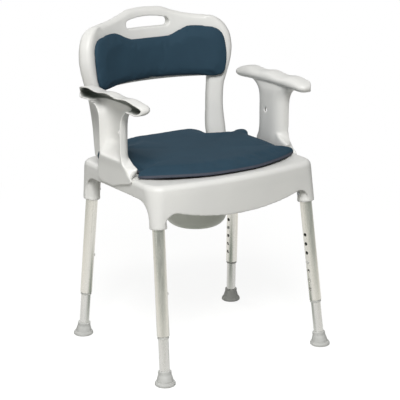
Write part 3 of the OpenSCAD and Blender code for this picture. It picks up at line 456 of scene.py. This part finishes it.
for side, sign in sides.items():
    armrest = bulged_copy("armrest_" + side, "moulded_armrest_" + side)
    soften(armrest, 1.9, 5)
    across, along, up = (points_of(armrest) / MM).T
    foot = (up > foot_bottom_mm) & (up < foot_top_mm)
    foot &= (abs(across) > foot_outside_mm) & (along < foot_rear_mm)
    ease(armrest, foot, 24)
    hole = (sign * hole_across_mm * MM, hole_along_mm * MM, hole_up_mm * MM)
    drill(armrest, hole, hole_mm * MM, hole_depth_mm * MM)
    stand_in(armrest, "armrest_" + side, armrest_finish)

back_frame = bulged_copy("backrest_frame", "moulded_back_frame")
soften(back_frame, 2.2, 6)
stand_in(back_frame, "backrest_frame", shell_finish)

# %% [markdown]
# The pads are foam under a tight skin. A block with round edges would look stiff, so we let Blender's
# cloth blow each pad up a little from a slightly smaller start. The side that rests on the chair is
# pinned, because a pad is flat where something carries it. A cap on the movement keeps the pad in the
# room that the CAD gives it.

# %% Helpers for pads
swell_frames = 20
swell_pressure = 4.0
most_swell_mm = 5
start_smaller_mm = 1.0
pad_voxel_mm = 5
resting_cosine = 0.75


def plump(piece, resting):
    """Blow a closed mesh up a little, with its resting points pinned and every movement capped."""
    before = points_of(piece)
    group = piece.vertex_groups.new(name="resting")
    group.add(np.flatnonzero(resting).tolist(), 1.0, "REPLACE")
    only(piece)
    cloth = piece.modifiers.new("foam", "CLOTH")
    cloth.settings.use_pressure = True
    cloth.settings.uniform_pressure_force = swell_pressure
    cloth.settings.effector_weights.gravity = 0
    cloth.settings.vertex_group_mass = group.name
    cloth.point_cache.frame_start = 1
    cloth.point_cache.frame_end = swell_frames
    for frame_number in range(1, swell_frames + 1):
        bpy.context.scene.frame_set(frame_number)
    bpy.ops.object.modifier_apply(modifier=cloth.name)
    move = points_of(piece) - before
    reach = np.linalg.norm(move, axis=1, keepdims=True)
    move_points(piece, before + move * np.minimum(1, most_swell_mm * MM / np.maximum(reach, 1e-9)))
    bpy.context.scene.frame_set(1)
    print(piece.name, "swelled by up to", round(min(reach.max() / MM, most_swell_mm), 2), "mm")


def pad_from(node, name, rest_direction):
    """A plumped pad in the room of its CAD solid. It is pinned where it faces the rest direction."""
    piece = bulged_copy(node, name, 4)
    apply_modifier(piece, "REMESH", mode="VOXEL", voxel_size=pad_voxel_mm * MM)
    apply_modifier(piece, "SMOOTH", factor=0.5, iterations=3)
    facing = normals_of(piece)
    move_points(piece, points_of(piece) - facing * start_smaller_mm * MM)
    plump(piece, facing @ np.array(rest_direction) > resting_cosine)
    apply_modifier(piece, "SUBSURF", levels=1, render_levels=1)
    only(piece)
    bpy.ops.object.shade_smooth()
    return piece


print("pads swell by up to", most_swell_mm, "mm in", swell_frames, "frames")

# %% [markdown]
# The seat pad lies loose on the seat, and its front left corner reaches a little further out, in front of
# the armrest. We pull the points there to the side, more and more towards the corner, which is what
# proportional editing does by hand. The back pad is pinned at its rear, where it lies against the frame.

# %% Pads
corner_pull_mm = 9
corner_side_mm = (180, 230)
corner_front_mm = (86, 102)

seat_pad = pad_from("seat_pad", "foam_seat_pad", (0, 0, -1))
place = points_of(seat_pad)
across, along = (place / MM).T[:2]
sideways = np.interp(-across, corner_side_mm, (0, 1))
forwards = np.interp(-along, corner_front_mm, (0, 1))
place[:, 0] -= corner_pull_mm * MM * sideways * forwards
move_points(seat_pad, place)
stand_in(seat_pad, "seat_pad", seat_pad_finish)

back_pad = pad_from("back_pad", "foam_back_pad", (0, 1, 0))
stand_in(back_pad, "back_pad", back_pad_finish)

# %% [markdown]
# The tubes, bushes, buttons, screws, rails and the pan have their true shapes in the frame already. They
# stay as they are and only get their finishes, through the material slot of each node's object.

# %% Finishes on the frame's own parts
def dress(node, surface):
    """Give a CAD node its finish."""
    shown = nodes[node]
    if not shown.data.materials:
        shown.data.materials.append(surface)
    for slot in shown.material_slots:
        slot.material = surface


for corner in corners:
    dress("leg_tube_" + corner, tube_finish)
    dress("inner_tube_" + corner, inner_tube_finish)
    dress("leg_bush_" + corner, bush_finish)
    dress("foot_" + corner, foot_finish)
    dress("button_" + corner, button_finish)
    dress("button_spring_" + corner, steel_finish)
for side in sides:
    dress("pan_rail_" + side, rail_finish)
dress("pan", pan_finish)
dress("seat_pad_board", board_finish)
for node in ("socket_screws", "pan_rail_screws", "back_pad_studs"):
    dress(node, steel_finish)
print("dressed nodes:", sum(1 for node in nodes.values() if not node.hide_render))

# %% [markdown]
# The studio's surround is white to the camera, but lights the chair gently, so that white parts keep
# their shading. In reflections it is grey at the horizon and white overhead, as a real room is. That
# draws dark and bright stripes on the tubes, which is how we know them as metal. The light path tells the
# shader who looks.

# %% Surround
surround_light = 0.18
surround_tint = "#eef2ee"
room_tone = "#626c65"
room_top = 0.3


def shown_to_eye(tree):
    """One for rays that come from the camera, from a reflection or through glass, else zero."""
    path = add(tree, "ShaderNodeLightPath").outputs
    seen = add(tree, "ShaderNodeMath", {0: path["Is Camera Ray"], 1: path["Is Glossy Ray"]},
               operation="MAXIMUM")
    through = add(tree, "ShaderNodeMath", {0: seen.outputs["Value"], 1: path["Is Transmission Ray"]},
                  operation="MAXIMUM")
    return through.outputs["Value"], path["Is Glossy Ray"]


world = bpy.data.worlds.new("white surround")
bpy.context.scene.world = world
world.use_nodes = True
tree = world.node_tree
tree.nodes.clear()
eye, glossy = shown_to_eye(tree)
around = add(tree, "ShaderNodeBackground", {"Color": linear(surround_tint), "Strength": surround_light})
way = add(tree, "ShaderNodeTexCoord").outputs["Generated"]
height = add(tree, "ShaderNodeSeparateXYZ", {"Vector": way}).outputs["Z"]
risen = add(tree, "ShaderNodeMapRange", {"Value": height, "From Max": room_top}).outputs["Result"]
room = add(tree, "ShaderNodeMix", {0: risen, 6: linear(room_tone), 7: linear("#ffffff")}, data_type="RGBA")
wall = add(tree, "ShaderNodeMix", {0: glossy, 6: linear("#ffffff"), 7: room.outputs[2]}, data_type="RGBA")
white = add(tree, "ShaderNodeBackground", {"Color": wall.outputs[2], "Strength": 1.0})
sky = add(tree, "ShaderNodeMixShader", {0: eye, 1: around.outputs[0], 2: white.outputs[0]})
add(tree, "ShaderNodeOutputWorld", {"Surface": sky.outputs[0]})
print("surround:", world.name, "at", surround_light)

# %% [markdown]
# The floor is painted pale. To the camera it fades to white away from the chair and keeps the chair's
# shadow. In the tubes it shows a painted reflection instead: a glow that is dark right under the chair as a
# painted shadow, bright around it and darker further off. On other parts it throws back the light of a
# plain grey floor.

# %% Floor
floor_width_m = 40
floor_gap_mm = 0.4
floor_glow = 0.86
floor_colour = "#8f8f8d"
floor_bounce = "#b8b8b4"
floor_fade_m = (0.5, 1.7)
# Painted reflection: the floor's glow seen in the tubes, by distance in metres, with a painted shadow under
# the chair.
painted_floor_reflection = [(0.1, "#8a948b"), (0.2, "#d4d7d2"), (0.32, "#ffffff"), (1.1, "#fffdf8"), (2.0, "#ced0cb"),
                (3.4, "#99a19a"), (5.8, "#6c766f")]

bpy.ops.object.select_all(action="DESELECT")
bpy.ops.mesh.primitive_plane_add(size=floor_width_m, location=(0, 0, -floor_gap_mm * MM))
floor = bpy.context.object
floor.name = "studio_floor"
ground = bpy.data.materials.new("painted studio floor")
ground.use_nodes = True
tree = ground.node_tree
tree.nodes.clear()
eye, glossy = shown_to_eye(tree)
black = linear("#000000")
place = add(tree, "ShaderNodeTexCoord").outputs["Object"]
away = add(tree, "ShaderNodeVectorMath", {0: place}, operation="LENGTH").outputs["Value"]
far = add(tree, "ShaderNodeMapRange", {"Value": away, "From Min": floor_fade_m[0],
                                       "From Max": floor_fade_m[1]}).outputs["Result"]
shown = add(tree, "ShaderNodeMix", {0: far, 6: linear(floor_colour), 7: black}, data_type="RGBA")
level = add(tree, "ShaderNodeMapRange", {"Value": far, "To Min": floor_glow, "To Max": 1.0})
reach = painted_floor_reflection[-1][0]
ring = add(tree, "ShaderNodeMath", {0: away, 1: reach}, operation="DIVIDE")
painted_reflection_ramp = add(tree, "ShaderNodeValToRGB", {"Fac": ring.outputs["Value"]})
for k, (radius, colour) in enumerate(painted_floor_reflection):
    stop = painted_reflection_ramp.color_ramp.elements[k] if k < 2 else painted_reflection_ramp.color_ramp.elements.new(1.0)
    stop.position = radius / reach
    stop.color = linear(colour)
# Painted reflection: glossy rays see the ramp's glow, and the camera sees the plain pale glow.
reflection_glow = add(tree, "ShaderNodeMix", {0: glossy, 6: level.outputs["Result"], 7: painted_reflection_ramp.outputs["Color"]},
            data_type="RGBA")
paint = add(tree, "ShaderNodeMix", {0: eye, 6: linear(floor_bounce), 7: shown.outputs[2]}, data_type="RGBA")
dull = add(tree, "ShaderNodeMix", {0: glossy, 6: paint.outputs[2], 7: black}, data_type="RGBA")
matt = add(tree, "ShaderNodeBsdfDiffuse", {"Color": dull.outputs[2]})
glow = add(tree, "ShaderNodeEmission", {"Color": reflection_glow.outputs[2], "Strength": eye})
both = add(tree, "ShaderNodeAddShader", {0: matt.outputs["BSDF"], 1: glow.outputs["Emission"]})
add(tree, "ShaderNodeOutputMaterial", {"Surface": both.outputs["Shader"]})
floor.data.materials.append(ground)
print("floor:", floor_width_m, "m wide")

# %% [markdown]
# A large key lamp in front on the left gives the shading, a weak one at the side lifts the left edges,
# and one behind parts the back from the background. All three are area lamps that face the chair, because
# a small lamp would throw hard shadows.

# %% Lamps
lamps = {"key": ((-1.5, -2.25, 3.1), 126, 1.4),
         "side": ((-3.0, -0.3, 1.0), 7, 1.4),
         "back": ((-0.4, 2.4, 2.6), 14, 1.6)}
for name, (spot, watts, size) in lamps.items():
    bpy.ops.object.light_add(type="AREA", location=spot)
    lamp = bpy.context.object
    lamp.name = name + "_lamp"
    lamp.data.energy = watts
    lamp.data.size = size
    lamp.rotation_euler = (Vector(spot) - view_target).to_track_quat("Z", "Y").to_euler()
bpy.context.scene.view_settings.view_transform = "Standard"
print("lamps:", ", ".join(lamps))
